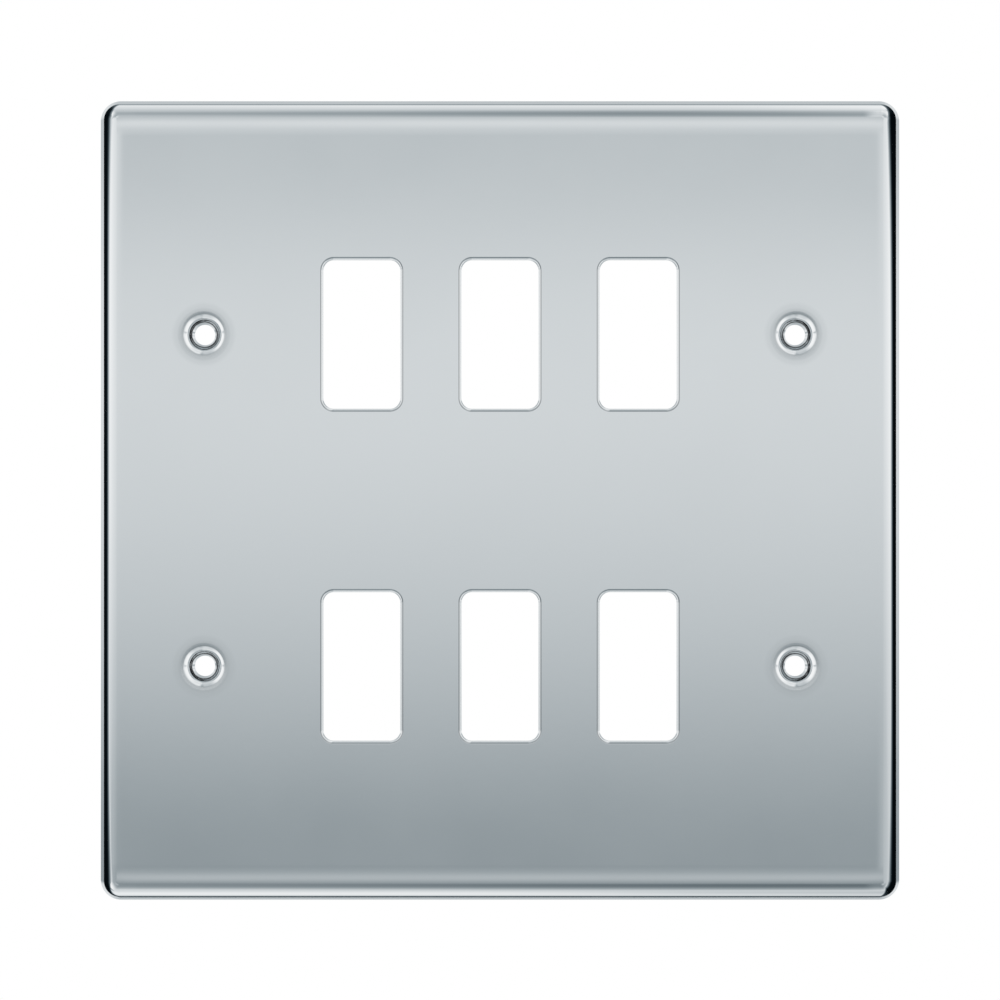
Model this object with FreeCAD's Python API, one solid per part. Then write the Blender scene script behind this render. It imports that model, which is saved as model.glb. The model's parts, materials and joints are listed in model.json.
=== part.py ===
import FreeCAD
import Part
import math
import os

# Front plate for grid switch modules: one sheet of steel, drawn to a shallow dish with a rolled rim,
# pierced with rows of rocker apertures and dimpled at its screw holes.
# The wall is the plane y = 0, the front faces -Y, +Z is up, and the origin is the plate's centre
# on the wall plane. Lengths are in millimetres and angles in degrees.
# A tilt is the slope of the skin away from the flat face.

# Drawn dish
plate_width = 146.0
plate_height = 146.0
plate_depth = 6.5
sheet_thickness = 1.0
corner_radius = 3.7
wall_tilt = 78.0
roll_inside_radius = 1.9
shoulder_radius = 40.0
shoulder_tilt = 5.0

# Rocker apertures, in rows that the screws share
aperture_columns = 3
aperture_pitch = 25.1
row_count = 2
row_pitch = 60.3
aperture_width = 13.95
aperture_height = 27.0
aperture_corner_radius = 1.9
aperture_edge_radius = 0.6

# Screw seats, one beyond each end of a row: a shallow sink, a bowl for the screw head and a drawn neck
screw_span = 107.5
sink_diameter = 11.6
sink_radius = 47.0
sink_tilt = 2.5
bowl_radius = 3.7
brim_tilt = 28.0
bowl_tilt = 50.0
mouth_diameter = 4.6
neck_tilt = 78.0
hole_diameter = 3.7
hole_land = 0.6
neck_wall = 0.5

origin = FreeCAD.Vector(0, 0, 0)
x_axis = FreeCAD.Vector(1, 0, 0)
y_axis = FreeCAD.Vector(0, 1, 0)
z_axis = FreeCAD.Vector(0, 0, 1)
outward = 1
inward = -1


def sine(tilt):
    return math.sin(math.radians(tilt))


def cosine(tilt):
    return math.cos(math.radians(tilt))


def tangent(tilt):
    return math.tan(math.radians(tilt))


def section_point(across, below_face):
    """A point of a section in the XY plane, by its depth below the front face."""
    return FreeCAD.Vector(across, below_face - plate_depth, 0)


def tilt_point(centre, radius, tilt, way):
    """Where an arc of skin that falls away outward or inward has this tilt."""
    return centre + FreeCAD.Vector(way * radius * sine(tilt), -radius * cosine(tilt), 0)


def tilt_arc(centre, radius, first_tilt, last_tilt, way):
    """The arc of skin between two tilts."""
    middle_tilt = (first_tilt + last_tilt) / 2
    points = [tilt_point(centre, radius, tilt, way) for tilt in (first_tilt, middle_tilt, last_tilt)]
    return Part.Arc(*points).toShape()


def section_face(*items):
    """A face whose outline runs through points and arcs in order, with straight lines between them."""
    starts = [item if isinstance(item, FreeCAD.Vector) else item.firstVertex().Point for item in items]
    ends = [item if isinstance(item, FreeCAD.Vector) else item.lastVertex().Point for item in items]
    edges = []
    for index, item in enumerate(items):
        if isinstance(item, Part.Edge):
            edges.append(item)
        next_start = starts[(index + 1) % len(items)]
        if not ends[index].isEqual(next_start, Part.Precision.confusion()):
            edges.append(Part.makeLine(ends[index], next_start))
    return Part.Face(Part.Wire(edges))


def rim_section(half_span, under_skin):
    """Half of the dish in section, from its middle to its rim, a depth under_skin inside the front skin."""
    roll_radius = roll_inside_radius + sheet_thickness
    roll_offset = shoulder_radius - roll_radius
    wall_top = shoulder_radius - roll_offset * cosine(shoulder_tilt) - roll_radius * cosine(wall_tilt)
    wall_run = (plate_depth - wall_top) / tangent(wall_tilt)
    rim_inset = roll_offset * sine(shoulder_tilt) + roll_radius * sine(wall_tilt) + wall_run
    shoulder_centre = section_point(half_span - rim_inset, shoulder_radius)
    roll_centre = tilt_point(shoulder_centre, roll_offset, shoulder_tilt, outward)
    shoulder = tilt_arc(shoulder_centre, shoulder_radius - under_skin, 0, shoulder_tilt, outward)
    roll = tilt_arc(roll_centre, roll_radius - under_skin, shoulder_tilt, wall_tilt, outward)
    wall_start = tilt_point(roll_centre, roll_radius - under_skin, wall_tilt, outward)
    foot = FreeCAD.Vector(wall_start.x - wall_start.y / tangent(wall_tilt), 0, 0)
    return section_face(section_point(0, under_skin), shoulder, roll, foot, origin)


def dish_body(under_skin):
    """The dish as a filled block: one quarter from two straight runs and a turned corner, mirrored."""
    half_width = plate_width / 2
    half_height = plate_height / 2
    side_section = rim_section(half_width, under_skin)
    side_run = side_section.extrude(z_axis * half_height)
    end_run = rim_section(half_height, under_skin).extrude(z_axis * -half_width)
    end_run.rotate(origin, y_axis, -90)
    turn_axis = FreeCAD.Vector(half_width - corner_radius, 0, half_height - corner_radius)
    square_corner = Part.makeBox(
        corner_radius, plate_depth, corner_radius, turn_axis - y_axis * plate_depth)
    side_section.translate(z_axis * turn_axis.z)
    turned_corner = side_section.common(square_corner).Faces[0].revolve(turn_axis, -y_axis, 90)
    quarter = side_run.common(end_run).cut(square_corner).fuse(turned_corner)
    half = quarter.fuse(quarter.mirror(origin, x_axis))
    return half.fuse(half.mirror(origin, z_axis)).removeSplitter()


def spread(count, pitch):
    """Places of a row of equal steps about the middle."""
    return [(index - (count - 1) / 2) * pitch for index in range(count)]


def aperture_punch(x, z):
    """The punch for one aperture, long enough to pass right through the dish."""
    length = plate_depth + sheet_thickness
    corner = FreeCAD.Vector(x - aperture_width / 2, -length, z - aperture_height / 2)
    blank = Part.makeBox(aperture_width, length, aperture_height, corner)
    long_edges = [edge for edge in blank.Edges if edge.BoundBox.YLength > sheet_thickness]
    return blank.makeFillet(aperture_corner_radius, long_edges)


def pierce(plate):
    """Cut the apertures and round over the edges that the fingers meet."""
    punches = [aperture_punch(x, z)
               for x in spread(aperture_columns, aperture_pitch)
               for z in spread(row_count, row_pitch)]
    pierced = plate.cut(punches)
    face_edges = [edge for edge in pierced.Edges
                  if abs(edge.BoundBox.YMax + plate_depth) < Part.Precision.confusion() * 10
                  and any(punch.BoundBox.isInside(edge.CenterOfMass) for punch in punches)]
    return pierced.makeFillet(aperture_edge_radius, face_edges)


def seat_section():
    """Half of a screw seat in section, from the edge of its sink to its hole."""
    rim_radius = sink_diameter / 2
    sink_centre = section_point(rim_radius, sink_radius)
    sink = tilt_arc(sink_centre, sink_radius, 0, sink_tilt, inward)
    brim = tilt_point(sink_centre, sink_radius, sink_tilt, inward)
    bowl_centre = tilt_point(brim, -bowl_radius, brim_tilt, inward)
    bowl = tilt_arc(bowl_centre, bowl_radius, brim_tilt, bowl_tilt, inward)
    bowl_end = tilt_point(bowl_centre, bowl_radius, bowl_tilt, inward)
    mouth_run = bowl_end.x - mouth_diameter / 2
    mouth = bowl_end + FreeCAD.Vector(-mouth_run, mouth_run * tangent(bowl_tilt), 0)
    neck_run = (mouth_diameter - hole_diameter) / 2
    throat = mouth + FreeCAD.Vector(-neck_run, neck_run * tangent(neck_tilt), 0)
    hole_end = throat + y_axis * hole_land
    neck_end = hole_end + x_axis * neck_wall
    back_edge = section_point(rim_radius, sheet_thickness)
    back_of_bowl = tilt_point(bowl_end, -sheet_thickness, bowl_tilt, inward)
    back_rise = back_of_bowl.y - back_edge.y
    back_bend = back_of_bowl + FreeCAD.Vector(back_rise / tangent(bowl_tilt), -back_rise, 0)
    root_rise = neck_end.y - back_bend.y - (back_bend.x - neck_end.x) * tangent(bowl_tilt)
    root_run = root_rise / (tangent(neck_tilt) - tangent(bowl_tilt))
    neck_root = neck_end + FreeCAD.Vector(root_run, -root_run * tangent(neck_tilt), 0)
    return section_face(sink, bowl, mouth, throat, hole_end, neck_end, neck_root, back_bend, back_edge)


def form_seats(plate):
    """Press a turned seat into the sheet at both ends of each row."""
    seat = seat_section().revolve(origin, y_axis, 360)
    clearing = Part.makeCylinder(
        sink_diameter / 2, plate_depth, section_point(0, 0), y_axis)
    places = [FreeCAD.Vector(x, 0, z)
              for x in (-screw_span / 2, screw_span / 2)
              for z in spread(row_count, row_pitch)]
    cleared = plate.cut([clearing.translated(place) for place in places])
    return cleared.fuse([seat.translated(place) for place in places]).removeSplitter()


dish = dish_body(0).cut(dish_body(sheet_thickness))
front_plate = form_seats(pierce(dish))

os.makedirs("parts", exist_ok=True)
front_plate.exportStep("parts/front_plate.step")
print("front_plate:", len(front_plate.Solids), "solid, valid:", front_plate.isValid(),
      "volume %.1f mm3" % front_plate.Volume, front_plate.BoundBox)
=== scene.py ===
# %% [markdown]
# # A square chrome plate for grid switches
# The real plate is one sheet of steel: drawn to a shallow dish with a rolled rim, pierced with two rows
# of rocker apertures, dimpled at its four screw holes, and plated with bright chrome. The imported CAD
# model already holds every size, so the lesson starts from it. All objects are in the CAD's own frame:
# the wall is the plane y = 0, the front faces -Y and +Z is up.

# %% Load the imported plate
import json
import math

import bpy
import numpy as np
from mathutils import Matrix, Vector
from mathutils.geometry import delaunay_2d_cdt


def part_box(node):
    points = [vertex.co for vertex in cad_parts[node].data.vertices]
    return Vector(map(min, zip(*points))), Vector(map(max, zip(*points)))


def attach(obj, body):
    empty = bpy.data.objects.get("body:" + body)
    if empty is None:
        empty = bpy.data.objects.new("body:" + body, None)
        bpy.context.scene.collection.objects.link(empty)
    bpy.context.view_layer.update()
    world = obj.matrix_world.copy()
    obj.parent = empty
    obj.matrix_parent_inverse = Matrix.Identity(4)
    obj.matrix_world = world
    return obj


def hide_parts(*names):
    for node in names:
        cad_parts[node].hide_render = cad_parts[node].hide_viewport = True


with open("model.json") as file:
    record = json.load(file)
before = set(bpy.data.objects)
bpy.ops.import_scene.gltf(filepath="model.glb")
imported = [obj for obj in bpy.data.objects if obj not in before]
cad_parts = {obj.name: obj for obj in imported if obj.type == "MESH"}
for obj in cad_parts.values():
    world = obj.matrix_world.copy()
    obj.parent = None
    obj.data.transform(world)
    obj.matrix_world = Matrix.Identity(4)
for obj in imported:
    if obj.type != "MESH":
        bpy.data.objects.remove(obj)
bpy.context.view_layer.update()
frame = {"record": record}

# %% [markdown]
# The frame also knows where things are. The box of the CAD node gives the outside of the plate, the
# bolt pattern gives the screw holes, and the openings give the middle of each aperture. Reading them
# here keeps the scene true to the CAD if a size there changes. The section is worked out in
# millimetres, as a toolmaker would write it, and turned into metres once, when the mesh is made.

# %% Read the sizes that the frame gives
MM = 0.001
low_corner, high_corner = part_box("front_plate")
half_width = high_corner.x / MM
half_height = high_corner.z / MM
plate_depth = -low_corner.y / MM

record = frame["record"]
screw_pattern = next(mount["dims"] for mount in record["mounts"] if mount["name"] == "screw_holes")
hole_radius = screw_pattern["hole_r_mm"]
screw_places = [(side * screw_pattern["spacing_x_mm"] / 2, row * screw_pattern["spacing_y_mm"] / 2)
                for side in (-1, 1) for row in (-1, 1)]
aperture_places = [tuple((low + high) / 2 / MM for low, high in zip(*opening["box_m"]))[::2]
                   for opening in record["physics"]["openings"]
                   if opening["name"].startswith("aperture")]
print("plate %.1f x %.1f x %.1f mm, %d apertures, %d screw holes" % (
    2 * half_width, 2 * half_height, plate_depth, len(aperture_places), len(screw_places)))

# %% [markdown]
# A mirror shows every facet of its mesh. The CAD mesh is made of flat facets, which is fine for
# collision, but bright chrome would break its reflections at each of them. A subdivision surface could
# smooth them, but it would also round the flat face and shrink the corners. So the plate is meshed again
# from its section: a list of stations, each with its inset from the edge, its depth below the face and
# the tilt of the skin there. From the tilt comes the exact normal, and exact normals give clean
# reflections. Every edge of a pressed sheet is a bend with a radius, so one helper makes them all.

# %% A bend in the section of the sheet
def inside(corner, first_tilt, last_tilt, distance):
    """The point that lies this far into the metal from both of the lines that meet at a corner."""
    middle = math.radians((first_tilt + last_tilt) / 2)
    reach = distance / math.cos(math.radians((last_tilt - first_tilt) / 2))
    return corner[0] + reach * math.sin(middle), corner[1] + reach * math.cos(middle)


def bend(corner, radius, first_tilt, last_tilt, steps):
    """Stations round a bend in place of a sharp corner. A hollow bend has a negative radius."""
    centre = inside(corner, first_tilt, last_tilt, radius)
    tilts = np.linspace(first_tilt, last_tilt, steps + 1)
    return [(centre[0] - radius * math.sin(math.radians(tilt)),
             centre[1] - radius * math.cos(math.radians(tilt)), tilt) for tilt in tilts]


def along(corner, tilt, length):
    """The next corner, further along a line with this tilt, towards the edge."""
    return (corner[0] - length * math.cos(math.radians(tilt)),
            corner[1] + length * math.sin(math.radians(tilt)))


print("a square bend of 1 mm starts %.2f mm before its corner" % bend((0, 0), 1.0, 0, 90, 1)[0][0])

# %% [markdown]
# The rim is what a hand notices first. The face stays flat to about 7 mm from the edge, sinks away
# in a soft shoulder, rolls over tightly and runs down to the wall as a steep side. The inside follows it
# one sheet further in. Tilts run on past 90 degrees round the rear edge, so 180 faces the wall and 258
# is the inside of the steep side.

# %% The section of the rim
sheet = 1.0
shoulder_radius, shoulder_tilt = 40.0, 5.0
roll_radius, side_tilt = 2.9, 78.0
burr_radius = 0.12

shoulder_run = shoulder_radius * math.tan(math.radians(shoulder_tilt / 2))
roll_run = roll_radius * math.tan(math.radians((side_tilt - shoulder_tilt) / 2))
shoulder_drop = (shoulder_run + roll_run) * math.sin(math.radians(shoulder_tilt))
roll_corner = ((plate_depth - shoulder_drop) / math.tan(math.radians(side_tilt)), shoulder_drop)
shoulder_corner = along(roll_corner, shoulder_tilt, -(shoulder_run + roll_run))
inner_foot = sheet / math.sin(math.radians(side_tilt))

rim_front = (bend(shoulder_corner, shoulder_radius, 0, shoulder_tilt, 10)
             + bend(roll_corner, roll_radius, shoulder_tilt, side_tilt, 40)[1:]
             + bend((0, plate_depth), burr_radius, side_tilt, 180, 8))
rim_back = (bend((inner_foot, plate_depth), burr_radius, 180, 180 + side_tilt, 8)
            + bend(inside(roll_corner, shoulder_tilt, side_tilt, sheet),
                   sheet - roll_radius, 180 + side_tilt, 180 + shoulder_tilt, 16)
            + bend(inside(shoulder_corner, 0, shoulder_tilt, sheet),
                   sheet - shoulder_radius, 180 + shoulder_tilt, 180, 5)[1:])
print("rim: %d stations, face flat to %.2f mm from the edge" % (
    len(rim_front) + len(rim_back), rim_front[0][0]))

# %% [markdown]
# The apertures are punched after drawing, and their front edges are rounded over so that fingers and
# rockers pass smoothly. A bevel on the finished mesh could do it too, but the same helper gives the exact
# normals here as well. Insets count from the edge of the aperture.

# %% The section of an aperture
aperture_half_width, aperture_half_height = 6.975, 13.5
aperture_corner = 1.9
edge_radius, punch_burr = 0.6, 0.06
aperture_front = bend((0, 0), edge_radius, 0, 90, 12)
aperture_back = bend((0, sheet), punch_burr, 90, 180, 4)
print("aperture: %.2f x %.2f mm, edge rounded by %.1f mm" % (
    2 * aperture_half_width, 2 * aperture_half_height, edge_radius))

# %% [markdown]
# The screw seats are pressed: the sheet sinks by a hair, turns over a brim into a bowl for the screw
# head, and is drawn out behind into a short neck with the hole in it. Here the insets are radii round
# the hole. The CAD spreads the sinking, less than 0.05 mm, over 2 mm. Only reflections can tell, and in
# the photograph they stay even nearly up to the brim, so here the skin falls over a soft edge of 0.6 mm
# to the same brim.

# %% The section of a screw seat
def arc(start, radius, first_tilt, last_tilt, steps):
    """Stations along an arc of skin that leaves a point with the first tilt."""
    first = math.radians(first_tilt)
    return [(start[0] - radius * (math.sin(tilt) - math.sin(first)),
             start[1] - radius * (math.cos(tilt) - math.cos(first)), math.degrees(tilt))
            for tilt in np.radians(np.linspace(first_tilt, last_tilt, steps + 1))]


def slope(tilt):
    """How far the skin falls for each millimetre across."""
    return math.tan(math.radians(tilt))


sink_reach, sink_radius, sink_tilt = 5.8, 47.0, 2.5
soft_edge, brim_radius, brim_tilt = 0.6, 0.15, 28.0
bowl_radius, bowl_tilt = 3.7, 50.0
mouth_radius, mouth_bend = 2.3, 0.2
neck_tilt, hole_land, neck_wall = 78.0, 0.6, 0.5
throat_bend, hole_burr = 1.5, 0.08
root_hollow, back_hollow = 0.25, 0.5

brim = arc((sink_reach, 0), sink_radius, 0, sink_tilt, 1)[-1][:2]
soft_tilt = 2 * math.degrees(math.atan2(brim[1], soft_edge))
sink = arc((brim[0] + soft_edge, 0), soft_edge / math.sin(math.radians(soft_tilt)), 0, soft_tilt, 8)
bowl = arc(brim, bowl_radius, brim_tilt, bowl_tilt, 18)
bowl_end = bowl[-1][:2]
mouth = (mouth_radius, bowl_end[1] + (bowl_end[0] - mouth_radius) * slope(bowl_tilt))
throat = (hole_radius, mouth[1] + (mouth_radius - hole_radius) * slope(neck_tilt))
hole_end = (hole_radius, throat[1] + hole_land)
neck_end = (hole_radius + neck_wall, hole_end[1])
cone_at_face = (bowl_end[0] + bowl_end[1] / slope(bowl_tilt), 0)
back_bend = inside(cone_at_face, 0, bowl_tilt, sheet)
rise = neck_end[1] - back_bend[1] - (back_bend[0] - neck_end[0]) * slope(bowl_tilt)
root_run = rise / (slope(neck_tilt) - slope(bowl_tilt))
neck_root = (neck_end[0] + root_run, neck_end[1] - root_run * slope(neck_tilt))

seat_front = (sink[:-1] + bend(brim, brim_radius, soft_tilt, brim_tilt, 6) + bowl[1:]
              + bend(mouth, mouth_bend, bowl_tilt, neck_tilt, 10)
              + bend(throat, throat_bend, neck_tilt, 90, 4)
              + bend(hole_end, hole_burr, 90, 180, 6))
seat_back = (bend(neck_end, hole_burr, 180, 180 + neck_tilt, 6)
             + bend(neck_root, -root_hollow, 180 + neck_tilt, 180 + bowl_tilt, 5)
             + bend(back_bend, -back_hollow, 180 + bowl_tilt, 180, 8))
print("seat: %d stations, brim %.2f mm from the middle, hole end %.2f mm below the face" % (
    len(seat_front) + len(seat_back), brim[0], hole_end[1]))

# %% [markdown]
# Each station becomes a closed ring of points: a round-cornered rectangle for the rim and the apertures,
# a circle for the seats. Rings of the rim run anticlockwise, seen from the front, and rings of a hole
# clockwise, so that one rule for joining neighbours turns every face outward.

# %% Rings of points
CORNER_STEPS = 20
points, normals = [], []


def add_ring(places, away, depth, tilt, spread=1.0, lean=0.0):
    """Add one ring and return its point numbers. The skin looks away from the metal and to the front."""
    forward = math.cos(math.radians(tilt)) * np.broadcast_to(spread, len(places))
    sideways = math.sin(math.radians(tilt)) * away + lean
    first = len(points)
    for (x, z), (side_x, side_z), front in zip(places, sideways, forward):
        points.append((x, depth - plate_depth, z))
        normals.append(Vector((side_x, -front, side_z)).normalized())
    return list(range(first, len(points)))


def rounded_rectangle(half_x, half_z, radius):
    """Points round a rectangle, anticlockwise from the front, and the way out of it at each."""
    angles = np.radians([90 * corner + step * 90 / CORNER_STEPS
                         for corner in range(4) for step in range(CORNER_STEPS + 1)])
    out = np.column_stack([np.cos(angles), np.sin(angles)])
    signs = np.repeat([(1, 1), (-1, 1), (-1, -1), (1, -1)], CORNER_STEPS + 1, axis=0)
    return signs * (half_x - radius, half_z - radius) + radius * out, out


print("a ring with four round corners has %d points" % len(rounded_rectangle(1, 1, 0.5)[0]))

# %% [markdown]
# In the rim's corners the rings can't stay evenly spaced, because the shoulder is wider than the corner
# radius. There the radius shrinks to a small one and stays, and the normal leans back by the share that
# the rings spread apart. Where the shoulders of two sides meet, both slopes add up, as they do in one
# pressed sheet, so the rings have more points there.

# %% Rings of the rim
MEETING_STEPS = 8
QUARTER_TURN = np.array([(0, 1), (-1, 0)])
face_inset = rim_front[0][0]
shoulder_width = shoulder_radius * math.sin(math.radians(shoulder_tilt))
corner_radius, least_corner, corner_softness = 3.7, 0.3, 0.6
past_meeting = 0.6
meeting_fade, roll_fade = (2.6, 4.4), (1.2, 3.4)


def corner_at(inset):
    """The corner radius of the ring at this inset, and how fast it grows with the inset."""
    left = corner_radius - least_corner - inset
    size = math.hypot(left, corner_softness)
    return least_corner + (left + size) / 2, -(1 + left / size) / 2


def ease(value, start, end):
    """From 0 at the start to 1 at the end, with soft ends."""
    t = np.clip((value - start) / (end - start), 0, 1)
    return t * t * (3 - 2 * t)


def shoulder_slope(inset):
    """The slope of the shoulder at an inset: none on the flat face, and no more once the roll starts."""
    reach = np.clip(face_inset - inset, 0, shoulder_width)
    return reach / np.sqrt(shoulder_radius ** 2 - reach ** 2)


def rim_ring(inset, depth, tilt):
    """A ring of the rim, with more points where the shoulders of two sides run into each other."""
    radius, growth = corner_at(inset)
    corners, corner_out = rounded_rectangle(half_width - inset, half_height - inset, radius)
    run = (face_inset + past_meeting - inset - radius) * np.linspace(0, 1, MEETING_STEPS + 1)[1:, None]
    places, out = [], []
    for turn, turn_out in zip(np.split(corners, 4), np.split(corner_out, 4)):
        start_way, end_way = turn_out[0] @ QUARTER_TURN, turn_out[-1] @ QUARTER_TURN
        places += [turn[0] - start_way * run[::-1], turn, turn[-1] + end_way * run]
        out += [np.tile(turn_out[0], (MEETING_STEPS, 1)), turn_out,
                np.tile(turn_out[-1], (MEETING_STEPS, 1))]
    places, out = np.concatenate(places), np.concatenate(out)
    spread = (1 + growth) * np.abs(out).sum(axis=1) - growth
    insets = (half_width, half_height) - np.abs(places)
    crown = np.sign(places) * shoulder_slope(insets)
    if tilt <= shoulder_tilt:
        return add_ring(places, np.zeros_like(out), depth, 0, 1.0, crown)
    # On the roll only the slope of the other side, the one further off, is still to be added.
    other_side = insets > insets.min(axis=1, keepdims=True) + 0.01
    share = ease(inset, *roll_fade) if tilt <= side_tilt else 0
    lean = crown * ease(insets, *meeting_fade) * other_side * share
    return add_ring(places, out, depth, tilt, spread, lean)


print("corner radius: %.2f mm at the edge, %.2f mm at the flat face" % (
    corner_at(0)[0], corner_at(face_inset)[0]))

# %% [markdown]
# The rings of the apertures and of the seats are simpler. Those of an aperture also carry a dark line of
# painted shade where the edge starts to turn: full along the upright edges, half along the lower one and
# none along the upper one. It is kept as a share for each point, which the finish reads later, because
# the line follows the shape of the edge and no pattern in space would.

# %% Rings of the apertures and the screw seats
SEAT_STEPS = 96
# Where the painted shade line lies along the aperture edges, by tilt and by side
shade_line_tilts, shade_line_shares, shade_line_below = (0, 7, 15, 22, 30), (0, 1, 1, 0.6, 0), 0.5
edge_shade_shares = {}


def aperture_ring(middle, inset, depth, tilt):
    """A ring of an aperture, with its share of the painted shade line."""
    places, out = rounded_rectangle(
        aperture_half_width + inset, aperture_half_height + inset, aperture_corner + inset)
    ring = add_ring((places + middle)[::-1], -out[::-1], depth, tilt)
    # Share of painted shade: full on the upright edges, half on the lower edge, none on the upper one
    dull_tone_and_edge_shade = out[::-1, 0] ** 2 + shade_line_below * np.maximum(-out[::-1, 1], 0)
    edge_shade_shares.update(zip(ring, np.interp(tilt, shade_line_tilts, shade_line_shares) * dull_tone_and_edge_shade))
    return ring


def seat_ring(middle, radius, depth, tilt):
    """A round ring of a screw seat."""
    angles = np.linspace(0, -2 * math.pi, SEAT_STEPS, endpoint=False)
    out = np.column_stack([np.cos(angles), np.sin(angles)])
    return add_ring(radius * out + middle, -out, depth, tilt)


print("a ring of a seat has %d points" % SEAT_STEPS)

# %% [markdown]
# Now the rings are joined. Neighbouring rings become a band of quads, from the flat front round the edge
# to the flat back. Faces are sorted into the polished front and the plain back while they are made.

# %% Join the rings to bands
POLISHED, PLAIN = 0, 1
faces, finishes = [], []


def join(rings, finish):
    """Bands of quads between each ring and the next."""
    for near, far in zip(rings, rings[1:]):
        band = [(near[i - 1], far[i - 1], far[i], near[i]) for i in range(len(near))]
        faces.extend(band)
        finishes.extend([finish] * len(band))


def skin(make_ring, front_stations, back_stations):
    """The whole skin of an edge. Returns the rings where it meets the flat front and the flat back."""
    front = [make_ring(*station) for station in front_stations]
    back = [make_ring(*station) for station in back_stations]
    join(front, POLISHED)
    join([front[-1]] + back, PLAIN)
    return front[0], back[-1]


meeting_rings = [skin(rim_ring, rim_front, rim_back)]
for place in aperture_places:
    meeting_rings.append(skin(
        lambda *station: aperture_ring(place, *station), aperture_front, aperture_back))
for place in screw_places:
    meeting_rings.append(skin(lambda *station: seat_ring(place, *station), seat_front, seat_back))
print("bands: %d edges, %d faces" % (len(meeting_rings), len(faces)))

# %% [markdown]
# What is left is flat: the front and the back between the rim and the holes. A boolean would cut the
# holes out of a plain face, but its points would not be those of the rings. Triangles between the rings
# share them, so the plate is one closed skin, as the solid is.

# %% Fill the flat front and back
def fill(rings, finish, facing_front):
    """Triangles between an outer ring and the holes in it."""
    numbers = [(number, which) for which, ring in enumerate(rings) for number in ring]
    flat = [Vector((points[number][0], points[number][2])) for number, which in numbers]
    edges = []
    for ring in rings:
        start = len(edges)
        edges += [(start + i, start + (i + 1) % len(ring)) for i in range(len(ring))]
    _, _, triangles, sources, _, _ = delaunay_2d_cdt(flat, edges, [], 1, 1e-6)
    for triangle in triangles:
        corners = [numbers[sources[corner][0]] for corner in triangle]
        on_rings = {which for number, which in corners}
        # A triangle with all its corners on the ring of a hole lies in the hole.
        if len(on_rings) > 1 or on_rings == {0}:
            face = [number for number, which in corners]
            faces.append(face if facing_front else face[::-1])
            finishes.append(finish)


fill([front for front, back in meeting_rings], POLISHED, True)
fill([back for front, back in meeting_rings], PLAIN, False)
print("plate skin: %d points, %d faces" % (len(points), len(faces)))

# %% [markdown]
# The mesh gets the exact normals of its points as custom normals, so the flat face reflects as one true
# mirror right up to the shoulder. The finished piece stands for the CAD node, which is hidden, and rides
# on the only body.

# %% Make the plate
plate_mesh = bpy.data.meshes.new("front_plate_polished")
plate_mesh.from_pydata([Vector(point) * MM for point in points], [], faces)
plate_mesh.polygons.foreach_set("material_index", finishes)
plate_mesh.shade_smooth()
plate_mesh.normals_split_custom_set_from_vertices(normals)
# Each point's share of the painted shade along the aperture edges
painted_edge_shade = plate_mesh.attributes.new("painted_edge_shade", "FLOAT", "POINT")
painted_edge_shade.data.foreach_set("value", [edge_shade_shares.get(number, 0.0) for number in range(len(points))])
plate = bpy.data.objects.new("front_plate_polished", plate_mesh)
bpy.context.scene.collection.objects.link(plate)
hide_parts("front_plate")
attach(plate, "root")
edge_uses = {}
for polygon in plate_mesh.polygons:
    for key in polygon.edge_keys:
        edge_uses[key] = edge_uses.get(key, 0) + 1
print("plate: %d triangles, open edges %d" % (
    sum(len(polygon.vertices) - 2 for polygon in plate_mesh.polygons),
    sum(uses != 2 for uses in edge_uses.values())))

# %% [markdown]
# Bright chrome is almost a perfect mirror with a faint cool tint. What keeps it from looking computed
# is small: the polish is a little hazier in some places than in others, and the plating has a very fine
# ripple, like the skin of an orange, that only shows in sharp reflections. Both come from noise in
# object coordinates, so they stay on the plate from every side. The colour and the polish are kept as
# values, because the next steps lay more over them.

# %% Bright chrome for the front
PEEL_HEIGHT = 0.02 * MM


def new_material(name):
    """A material with a Principled shader, its nodes, its links and the plate's own coordinates."""
    material = bpy.data.materials.new(name)
    material.use_nodes = True
    nodes, links = material.node_tree.nodes, material.node_tree.links
    where = nodes.new("ShaderNodeTexCoord").outputs["Object"]
    return material, nodes, links, nodes["Principled BSDF"], where


def noise(nodes, links, where, scale, detail, stretch=(1, 1, 1)):
    """Noise of so many grains per metre, drawn out along an axis where its stretch is below 1."""
    mapping = nodes.new("ShaderNodeMapping")
    mapping.inputs["Scale"].default_value = stretch
    links.new(where, mapping.inputs["Vector"])
    grain = nodes.new("ShaderNodeTexNoise")
    grain.inputs["Scale"].default_value = scale
    grain.inputs["Detail"].default_value = detail
    links.new(mapping.outputs["Vector"], grain.inputs["Vector"])
    return grain.outputs["Fac"]


def spread_values(nodes, links, source, low, high):
    """Turn the middle range of noise into values from low to high."""
    ranged = nodes.new("ShaderNodeMapRange")
    ranged.inputs["From Min"].default_value = 0.3
    ranged.inputs["From Max"].default_value = 0.7
    ranged.inputs["To Min"].default_value = low
    ranged.inputs["To Max"].default_value = high
    links.new(source, ranged.inputs["Value"])
    return ranged.outputs["Result"]


def tint(nodes, links, source, first_colour, second_colour):
    """A colour between two, by a factor."""
    mix = nodes.new("ShaderNodeMix")
    mix.data_type = "RGBA"
    mix.inputs["A"].default_value = (*first_colour, 1)
    mix.inputs["B"].default_value = (*second_colour, 1)
    links.new(source, mix.inputs["Factor"])
    return mix.outputs["Result"]


def ripple(nodes, links, source, strength, height):
    """A bump of this height in metres."""
    bump = nodes.new("ShaderNodeBump")
    bump.inputs["Strength"].default_value = strength
    bump.inputs["Distance"].default_value = height
    links.new(source, bump.inputs["Height"])
    return bump.outputs["Normal"]


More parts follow.
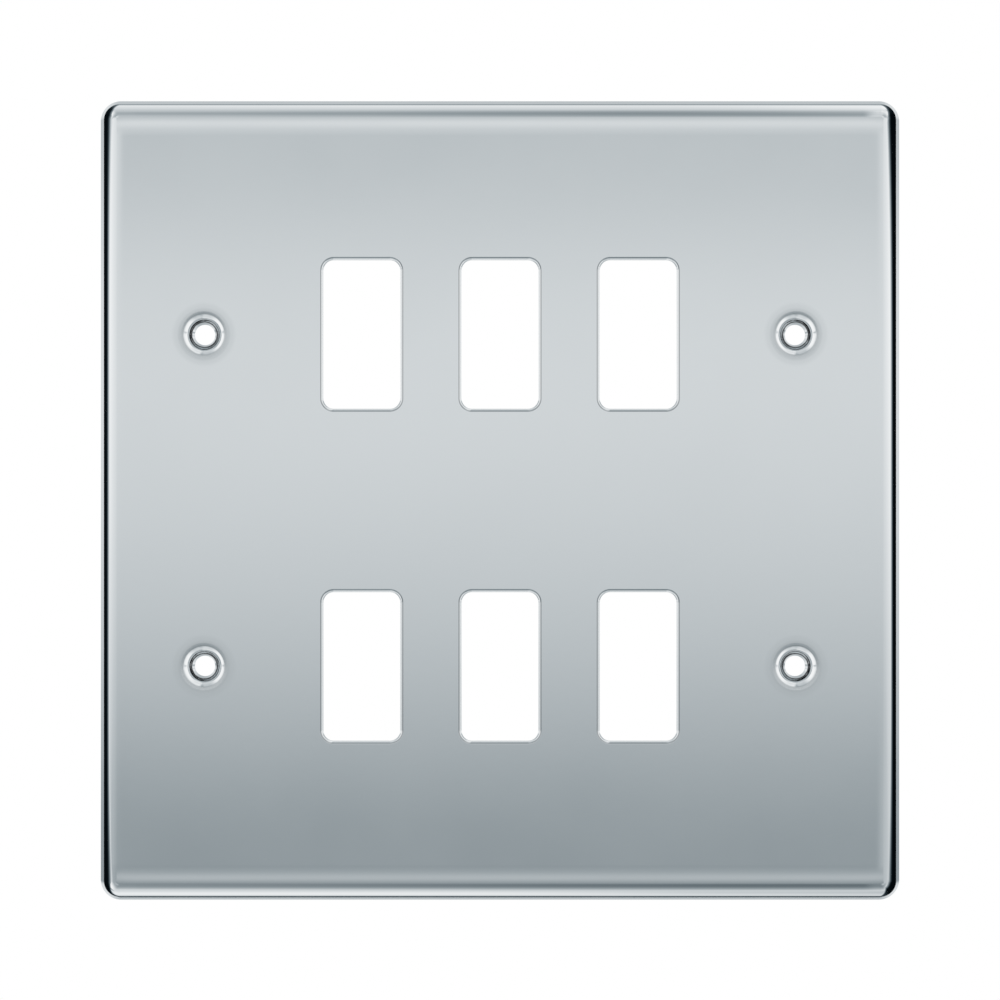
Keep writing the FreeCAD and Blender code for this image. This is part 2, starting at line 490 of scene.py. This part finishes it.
chrome, nodes, links, shader, where = new_material("polished_chrome")
shader.inputs["Metallic"].default_value = 1.0
cloud = noise(nodes, links, where, 40, 3)
colour = tint(nodes, links, cloud, (0.855, 0.875, 0.885), (0.87, 0.888, 0.897))
polish = spread_values(nodes, links, cloud, 0.06, 0.09)
peel = noise(nodes, links, where, 700, 1)
links.new(ripple(nodes, links, peel, 0.02, PEEL_HEIGHT), shader.inputs["Normal"])
plate_mesh.materials.append(chrome)
print("bright chrome: %d nodes" % len(nodes))

# %% [markdown]
# A buffing wheel rides over the dimples, so a soft haze stays round the brim of each screw seat, and the
# colour there is darkened too, which is painted shade round each dimple. A thin dark line where the bowl
# meets the neck is painted shade as well. Both follow from one measure: how far a point is from the
# nearest screw hole. The four holes lie symmetrically, so folding the plate's quarters onto each other
# makes them one. The haze and the dark line are also rougher than the polish, and the dark line wanders a
# little.

# %% Haze with painted shade, and a painted dark line, round the screw holes
# Stops by distance from the hole: the haze with its painted shade, then the painted dark line
HAZE_AND_SHADE_STOPS = [(3.5, 0), (3.8, 1), (4.4, 0.5), (5.0, 0.2), (6.1, 0), (7.0, 0)]
RECESS_SHADE_STOPS = [(2.24, 0), (2.29, 1), (2.42, 1), (2.47, 0), (7.0, 0)]
RECESS_SHADE_WANDER = 0.12 * MM
HAZE_ROUGHNESS, RECESS_SHADE_ROUGHNESS = 0.17, 0.3


def seat_distance(nodes, links, where):
    """How far a point is from the middle of the nearest screw hole, seen from the front."""
    upper_right = (screw_places[-1][0] * MM, 0, screw_places[-1][1] * MM)
    steps = (("ABSOLUTE", (0, 0, 0)), ("SUBTRACT", upper_right),
             ("MULTIPLY", (1, 0, 1)), ("LENGTH", (0, 0, 0)))
    for operation, value in steps:
        step = nodes.new("ShaderNodeVectorMath")
        step.operation = operation
        step.inputs[1].default_value = value
        links.new(where, step.inputs[0])
        where = step.outputs["Value" if operation == "LENGTH" else "Vector"]
    return where


def sum_of(nodes, links, first, second, share):
    """The first value with a share of the second added."""
    adding = nodes.new("ShaderNodeMath")
    adding.operation = "MULTIPLY_ADD"
    adding.inputs[1].default_value = share
    links.new(second, adding.inputs[0])
    links.new(first, adding.inputs[2])
    return adding.outputs["Value"]


def by_distance(nodes, links, distance, stops):
    """A value from 0 to 1 that follows stops of distance in millimetres and value."""
    reach = stops[-1][0] * MM
    scaled = nodes.new("ShaderNodeMath")
    scaled.operation = "DIVIDE"
    scaled.inputs[1].default_value = reach
    links.new(distance, scaled.inputs[0])
    ramp = nodes.new("ShaderNodeValToRGB")
    ramp.color_ramp.interpolation = "EASE"
    while len(ramp.color_ramp.elements) < len(stops):
        ramp.color_ramp.elements.new(0.5)
    for element, (place, value) in zip(ramp.color_ramp.elements, stops):
        element.position = place * MM / reach
        element.color = (value, value, value, 1)
    links.new(scaled.outputs["Value"], ramp.inputs["Fac"])
    return ramp.outputs["Color"]


def laid_over(nodes, links, share, under, over):
    """A layer of colour over the colour under it, by its share."""
    layer = tint(nodes, links, share, (0, 0, 0), over)
    links.new(under, layer.node.inputs["A"])
    return layer


from_hole = seat_distance(nodes, links, where)
haze_and_shade = by_distance(nodes, links, from_hole, HAZE_AND_SHADE_STOPS)
# Painted shade: darker colour round each dimple, laid on with the haze
colour = laid_over(nodes, links, haze_and_shade, colour, (0.70, 0.72, 0.73))
polish = sum_of(nodes, links, polish, haze_and_shade, HAZE_ROUGHNESS)
wandering = sum_of(nodes, links, from_hole, noise(nodes, links, where, 1800, 2), RECESS_SHADE_WANDER)
recess_shade = by_distance(nodes, links, wandering, RECESS_SHADE_STOPS)
# Painted shade: a near-black line where the bowl meets the neck
colour = laid_over(nodes, links, recess_shade, colour, (0.018, 0.02, 0.023))
polish = sum_of(nodes, links, polish, recess_shade, RECESS_SHADE_ROUGHNESS)
links.new(polish, shader.inputs["Roughness"])
print("with the finish round the holes: %d nodes" % len(nodes))

# %% [markdown]
# The last layer is the line of painted shade along the edges of the apertures. The mesh brings its share
# for each point, so an attribute node is all it needs, and then the colour is complete.

# %% A line of painted shade along the apertures
edge_line = nodes.new("ShaderNodeAttribute")
edge_line.attribute_name = "painted_edge_shade"
# Painted shade: dark grey laid over the colour along the aperture edges
colour = laid_over(nodes, links, edge_line.outputs["Fac"], colour, (0.42, 0.435, 0.445))
links.new(colour, shader.inputs["Base Color"])
print("front finish:", chrome.name, len(nodes), "nodes")

# %% [markdown]
# Nobody polishes the back. It has the same plating over the sheet as it was rolled, so it is duller and
# greyer, with the long fine grain of rolling. The grain is noise drawn out along the plate's width.

# %% Plain plating for the back
GRAIN_HEIGHT = 0.03 * MM

back_plating, nodes, links, shader, where = new_material("plain_plating")
shader.inputs["Metallic"].default_value = 1.0
cloud = noise(nodes, links, where, 25, 4)
grain = noise(nodes, links, where, 1500, 4, stretch=(0.02, 1, 1))
dull_tone_and_edge_shade = tint(nodes, links, cloud, (0.66, 0.672, 0.68), (0.74, 0.748, 0.752))
links.new(dull_tone_and_edge_shade, shader.inputs["Base Color"])
links.new(spread_values(nodes, links, grain, 0.30, 0.42), shader.inputs["Roughness"])
links.new(ripple(nodes, links, grain, 0.12, GRAIN_HEIGHT), shader.inputs["Normal"])
plate_mesh.materials.append(back_plating)
print("back finish:", back_plating.name, len(nodes), "nodes")

# %% [markdown]
# Chrome has no look of its own: it shows the room. A photographer puts such a plate in a light tent, a
# cloth dome with a hole for the lens, and shades the cloth so that the face runs softly from light to
# dark. Here the tent is a large dome that the camera doesn't see, with its shading painted on its
# points. Angles count from the line to the lens, up or down for the shading over the height, and to
# the side for the shading that the left and right rim pick up. Shades are greys as the plate shows
# them, from 0 to 255, and darker light is cooler. They were chosen by comparing renders with the
# photograph, as a photographer moves the cloth until the picture is right.

# %% Shades of the light tent
PLATE_REFLECTS = 0.86
GREEN_FALL, BLUE_FALL = 0.9, 0.85
shades_over_height = [
    (-180, 230), (-170, 220), (-160, 175), (-140, 180), (-120, 220), (-85, 220), (-65, 190),
    (-48, 140), (-32, 112), (-20, 118), (-15, 130), (-12, 173), (-8, 150), (-5, 140), (-4, 142),
    (-2.4, 174), (0, 202), (1.6, 209), (3, 202), (4.2, 182), (5, 186), (8, 196), (12.4, 209),
    (14.4, 188), (18, 176), (30, 152), (41, 139), (50, 143), (65, 172), (75, 194), (85, 205),
    (105, 216), (120, 222), (140, 180), (160, 178), (170, 222), (180, 230)]
change_to_the_side = [
    (0, 0), (12, 0), (19, 7), (26, 10), (41, 17), (58, 25), (75, 30), (79, 28), (84, -85), (88, -85),
    (93, 20), (120, 20), (148, 28), (160, -5), (172, 28), (180, 28)]


def shade_at(angles, shades):
    """Grey at each angle, on a smooth curve through the shades."""
    at, grey = np.array(shades, float).T
    climb = np.gradient(grey, at)
    i = np.clip(np.searchsorted(at, angles, side="right") - 1, 0, len(at) - 2)
    width = at[i + 1] - at[i]
    t = (angles - at[i]) / width
    return ((1 + 2 * t) * (1 - t) ** 2 * grey[i] + t * (1 - t) ** 2 * width * climb[i]
            + t * t * (3 - 2 * t) * grey[i + 1] + t * t * (t - 1) * width * climb[i + 1])


def cloth_colour(grey):
    """The light of cloth that the plate shows as this grey."""
    level = ((np.clip(grey, 0, 255) / 255 + 0.055) / 1.055) ** 2.4 / PLATE_REFLECTS
    return np.column_stack([level, level ** GREEN_FALL, level ** BLUE_FALL, np.ones_like(level)])


print("cloth at the lens: light of %.2f, %.2f, %.2f" % tuple(
    cloth_colour(shade_at(np.zeros(1), shades_over_height))[0, :3]))

# %% [markdown]
# One list runs over the height and one to the side, so a rule has to say which of them counts in each
# direction. The flat face looks within 5 degrees of the lens, the shoulder up to about 15, and the roll
# all round the tent, so changes far from the lens shade the rim and leave the face alone.

# %% Light of the cloth in each direction
BEHIND_SHADE, OPEN_SHADE = 170, 212


def tent_light(directions):
    """The colour of the tent's cloth in each direction."""
    x, y, z = directions.T
    from_lens = np.degrees(np.arccos(np.clip(-y, -1, 1)))
    elevation = np.degrees(np.arcsin(np.clip(z, -1, 1)))
    across = np.degrees(np.arctan2(x, np.hypot(y, z)))

    # Above and below the lens the cloth follows the shades over the height. Further up and down it is
    # lighter to the left, darker to the right and light again far to the right.
    over_height = shade_at(np.degrees(np.arctan2(z, -y)), shades_over_height)
    over_height += ease(np.abs(elevation), 13, 25) * (1 - 0.9 * ease(from_lens, 60, 76)) * (
        np.clip(-5 * across, -22, 22) + np.where(z > 0, 70, 30) * ease(across, 1.6, 10))
    # The right part of the upper rim sees a lighter patch, and that of the lower rim a darker one.
    over_height += ease(from_lens, 30, 45) * (1 - ease(from_lens, 105, 125)) * np.where(
        z > 0, 20 * ease(across, 2.4, 4.4), -36 * ease(across, -0.5, 4) * ease(from_lens, 72, 84))

    # To the left and right the cloth keeps the shade that the face has at the same height, with more
    # light at the lower right, and opens to an even shade further up and down.
    beside = shade_at(np.clip(elevation, -4.2, np.where(from_lens < 90, 2.2, 4.2)), shades_over_height)
    beside += np.where(x > 0, 28, 0) * ease(-elevation, 2.5, 4.2) * (1 - ease(from_lens, 60, 80))
    open_shade = OPEN_SHADE - 75 * ease(from_lens, 26, 36) * (1 - ease(from_lens, 32, 66))
    steep = 1 - ease(from_lens, 40, 55)
    beside += (open_shade - beside) * np.maximum(
        ease(np.abs(elevation), 4.6 + 10.4 * steep, 7.5 + 17.5 * steep),
        ease(from_lens, 70, 78) * (1 - ease(from_lens, 95, 105)))
    to_the_side = beside + shade_at(from_lens, change_to_the_side)

    # Behind the plate, above and below its own height, the cloth is shaded off.
    shaded_off = ease(np.abs(z), 0.12, 0.28) * ease(from_lens, 85, 105) * (1 - ease(from_lens, 140, 165))
    to_the_side += (BEHIND_SHADE - to_the_side) * shaded_off

    # The two shadings blend over the diagonals, and near the lens only close to the sides.
    sideways = np.abs(x) / np.maximum(np.hypot(x, z), 1e-9)
    narrow = 1 - ease(from_lens, 16, 30)
    side_share = ease(from_lens, 11, 15.5) * ease(sideways, 0.35 + 0.45 * narrow, 0.8 + 0.18 * narrow)
    return cloth_colour(over_height + (to_the_side - over_height) * side_share)


overhead_light = tent_light(np.array([(0.0, 0.0, 1.0)]))[0, :3]
print("cloth overhead: light of %.2f, %.2f, %.2f" % tuple(overhead_light))

# %% [markdown]
# The dome is a plain sphere of rings round the line to the lens. They lie closest near the lens, because
# the flat face looks there and shows a small patch of cloth over its whole width. The dome is so large
# that every part of the plate sees the same cloth in the same direction.

# %% Make the light tent
TENT_RADIUS = 25.0
tent_rings = np.radians(np.concatenate([np.arange(0.2, 16, 0.2), np.arange(16, 180, 1.5)]))
tent_steps = 144
turns = np.linspace(0, 2 * math.pi, tent_steps, endpoint=False)
tent_directions = np.array([
    (math.sin(ring) * math.cos(turn), -math.cos(ring), math.sin(ring) * math.sin(turn))
    for ring in tent_rings for turn in turns])
tent_faces = [(r * tent_steps + i, r * tent_steps + (i + 1) % tent_steps,
               (r + 1) * tent_steps + (i + 1) % tent_steps, (r + 1) * tent_steps + i)
              for r in range(len(tent_rings) - 1) for i in range(tent_steps)]
tent_faces.append(tuple(range(tent_steps)))
tent_faces.append(tuple(range(len(tent_directions) - tent_steps, len(tent_directions))))
tent_mesh = bpy.data.meshes.new("light_tent")
tent_mesh.from_pydata((tent_directions * TENT_RADIUS).tolist(), [], tent_faces)
shading = tent_mesh.attributes.new("tent_shading", "FLOAT_COLOR", "POINT")
shading.data.foreach_set("color", tent_light(tent_directions).astype(np.float32).ravel())

tent_cloth = bpy.data.materials.new("tent_cloth")
tent_cloth.use_nodes = True
nodes, links = tent_cloth.node_tree.nodes, tent_cloth.node_tree.links
nodes.remove(nodes["Principled BSDF"])
painted = nodes.new("ShaderNodeAttribute")
painted.attribute_name = "tent_shading"
glow = nodes.new("ShaderNodeEmission")
links.new(painted.outputs["Color"], glow.inputs["Color"])
links.new(glow.outputs["Emission"], nodes["Material Output"].inputs["Surface"])
tent_cloth.cycles.emission_sampling = "NONE"
tent_mesh.materials.append(tent_cloth)
tent = bpy.data.objects.new("light_tent", tent_mesh)
tent.visible_camera = False
bpy.context.scene.collection.objects.link(tent)
print("tent: %d points, radius %.0f m" % (len(tent_directions), TENT_RADIUS))

# %% [markdown]
# Against a white background a chrome rim would melt away, so a narrow strip of dyed cloth stands close
# round it. The roll of the rim picks the strip up as the dark line that draws the edge of the plate:
# black at the left and right and round the corners, thin and grey along the top and bottom. The dye
# gets darker from the strip's front edge towards the wall. The stations go round the plate by angle,
# with most of each quarter turn at its corner. Like the tent's shades, they were chosen by comparing
# renders with the photograph.

# %% Stations of a dark strip round the rim
STRIP_GAP = 0.3
SIDE_STEPS, SIDE_END = 24, 15
# Each station: the angle round the plate, then the depths of the front edge, of full dye and of the rear
# edge in millimetres below the face, then the shades of the front edge and of full dye.
strip_stations = np.array([
    (0, -0.1, 1.55, 4.7, 215, 2), (15, -2.6, 0.4, 4.6, 190, 3), (35, -1.8, 0.6, 4.4, 170, 3),
    (62, 1.0, 2.2, 4.4, 120, 30), (90, 2.9, 3.3, 5.0, 200, 140),
    (120, 0.4, 1.7, 4.2, 140, 20), (145, -1.0, 1.0, 4.5, 150, 8), (165, -1.6, 1.3, 4.6, 215, 5),
    (180, -0.1, 1.65, 4.7, 225, 6), (195, -1.6, 1.1, 4.7, 205, 4), (210, -0.5, 0.9, 4.6, 140, 4),
    (225, 0.4, 1.3, 4.7, 120, 4), (245, 2.0, 2.8, 5.2, 150, 20), (270, 3.1, 3.6, 6.1, 200, 70),
    (300, -1.6, 0.3, 5.2, 170, 4), (335, -2.0, 0.5, 4.8, 180, 2), (345, -1.8, 1.1, 4.8, 200, 2),
    (360, -0.1, 1.55, 4.7, 215, 2)])
corner_places, _ = rounded_rectangle(
    half_width + STRIP_GAP, half_height + STRIP_GAP, corner_radius + STRIP_GAP)
strip_places, strip_angles = [], []
for corner in range(4):
    turn = slice(corner * (CORNER_STEPS + 1), (corner + 1) * (CORNER_STEPS + 1))
    strip_places += list(corner_places[turn])
    ends = (SIDE_END, 0) if corner % 2 == 0 else (0, SIDE_END)
    strip_angles += list(90 * corner + np.linspace(ends[0], 90 - ends[1], CORNER_STEPS + 1))
    side_start = corner_places[turn][-1]
    side_run = corner_places[turn.stop % len(corner_places)] - side_start
    for share in np.linspace(0, 1, SIDE_STEPS)[1:-1]:
        strip_places.append(side_start + side_run * share)
        strip_angles.append(90 * (corner + 1) + ends[1] * (2 * share - 1) ** 5)
print("strip: %d places round the rim, %.1f mm from it" % (len(strip_places), STRIP_GAP))

# %% [markdown]
# Between its front and rear edge the strip is a few millimetres of cloth in rows. It uses the tent's own
# cloth with darker shades. Only reflections see it, and it throws no shadow.

# %% Make the dark strip
STRIP_ROWS = 20
front_depth, full_depth, rear_depth, front_shade, full_shade = (
    np.interp(np.mod(strip_angles, 360), strip_stations[:, 0], column)
    for column in strip_stations[:, 1:].T)
strip_points, strip_shades = [], []
for share in np.linspace(0, 1, STRIP_ROWS):
    depths = front_depth + (rear_depth - front_depth) * share
    strip_points += [(x * MM, (depth - plate_depth) * MM, z * MM)
                     for (x, z), depth in zip(strip_places, depths)]
    strip_shades.append(front_shade + (full_shade - front_shade) * ease(depths, front_depth, full_depth))
count = len(strip_places)
strip_faces = [(row * count + i, row * count + (i + 1) % count,
                (row + 1) * count + (i + 1) % count, (row + 1) * count + i)
               for row in range(STRIP_ROWS - 1) for i in range(count)]
strip_mesh = bpy.data.meshes.new("dark_strip")
strip_mesh.from_pydata(strip_points, [], strip_faces)
dye = strip_mesh.attributes.new("tent_shading", "FLOAT_COLOR", "POINT")
dye.data.foreach_set("color", cloth_colour(np.concatenate(strip_shades)).astype(np.float32).ravel())
strip_mesh.materials.append(tent_cloth)
strip = bpy.data.objects.new("dark_strip", strip_mesh)
strip.visible_camera = False
strip.visible_diffuse = False
strip.visible_shadow = False
bpy.context.scene.collection.objects.link(strip)
print("strip: %d faces" % len(strip_faces))

# %% [markdown]
# The plate hangs free, as it would on a wall, over a plain white floor. The floor glows a little by
# itself and takes the rest of its white from the tent, so that it keeps the plate's soft shadow. The
# world behind everything is plain white.

# %% Floor and background
FLOOR_LEVEL = -0.5
FLOOR_SIDE, FLOOR_FRONT, FLOOR_REAR = 0.5, -0.35, 0.31
floor_mesh = bpy.data.meshes.new("floor")
floor_mesh.from_pydata([(-FLOOR_SIDE, FLOOR_FRONT, FLOOR_LEVEL), (FLOOR_SIDE, FLOOR_FRONT, FLOOR_LEVEL),
                        (FLOOR_SIDE, FLOOR_REAR, FLOOR_LEVEL), (-FLOOR_SIDE, FLOOR_REAR, FLOOR_LEVEL)],
                       [], [(0, 1, 2, 3)])
floor_white = bpy.data.materials.new("floor_white")
floor_white.use_nodes = True
floor_shader = floor_white.node_tree.nodes["Principled BSDF"]
floor_shader.inputs["Base Color"].default_value = (0.9, 0.9, 0.9, 1)
floor_shader.inputs["Roughness"].default_value = 1.0
floor_shader.inputs["Specular IOR Level"].default_value = 0.0
floor_shader.inputs["Emission Color"].default_value = (1, 1, 1, 1)
floor_shader.inputs["Emission Strength"].default_value = 0.5
floor_mesh.materials.append(floor_white)
floor = bpy.data.objects.new("floor", floor_mesh)
floor.visible_glossy = False
bpy.context.scene.collection.objects.link(floor)

world = bpy.data.worlds.new("white_background")
world.use_nodes = True
world.node_tree.nodes["Background"].inputs["Color"].default_value = (1, 1, 1, 1)
world.node_tree.nodes["Background"].inputs["Strength"].default_value = 1.0
bpy.context.scene.world = world
bpy.context.scene.view_settings.view_transform = "Standard"
print("floor at %.2f m" % FLOOR_LEVEL)

# %% [markdown]
# The photograph looks straight at the middle of the face from a little under a metre. At that distance
# the steep sides of the rim still show as a thin strip. The focal length follows from how wide the
# picture is at the wall plane, and the lens stands a hair above the middle, which puts the plate where
# the photograph has it.

# %% Camera
CAMERA_DISTANCE = 0.9
PICTURE_WIDTH_AT_WALL = 0.18284
CAMERA_RISE = 0.08 * MM
lens = bpy.data.cameras.new("camera")
lens.sensor_width = 36.0
lens.lens = lens.sensor_width * (CAMERA_DISTANCE + plate_depth * MM) / PICTURE_WIDTH_AT_WALL
camera = bpy.data.objects.new("camera", lens)
camera.location = (0, -plate_depth * MM - CAMERA_DISTANCE, CAMERA_RISE)
camera.rotation_euler = (math.pi / 2, 0, 0)
bpy.context.scene.collection.objects.link(camera)
bpy.context.scene.camera = camera
print("camera: %.1f mm lens at %.2f m" % (lens.lens, CAMERA_DISTANCE))
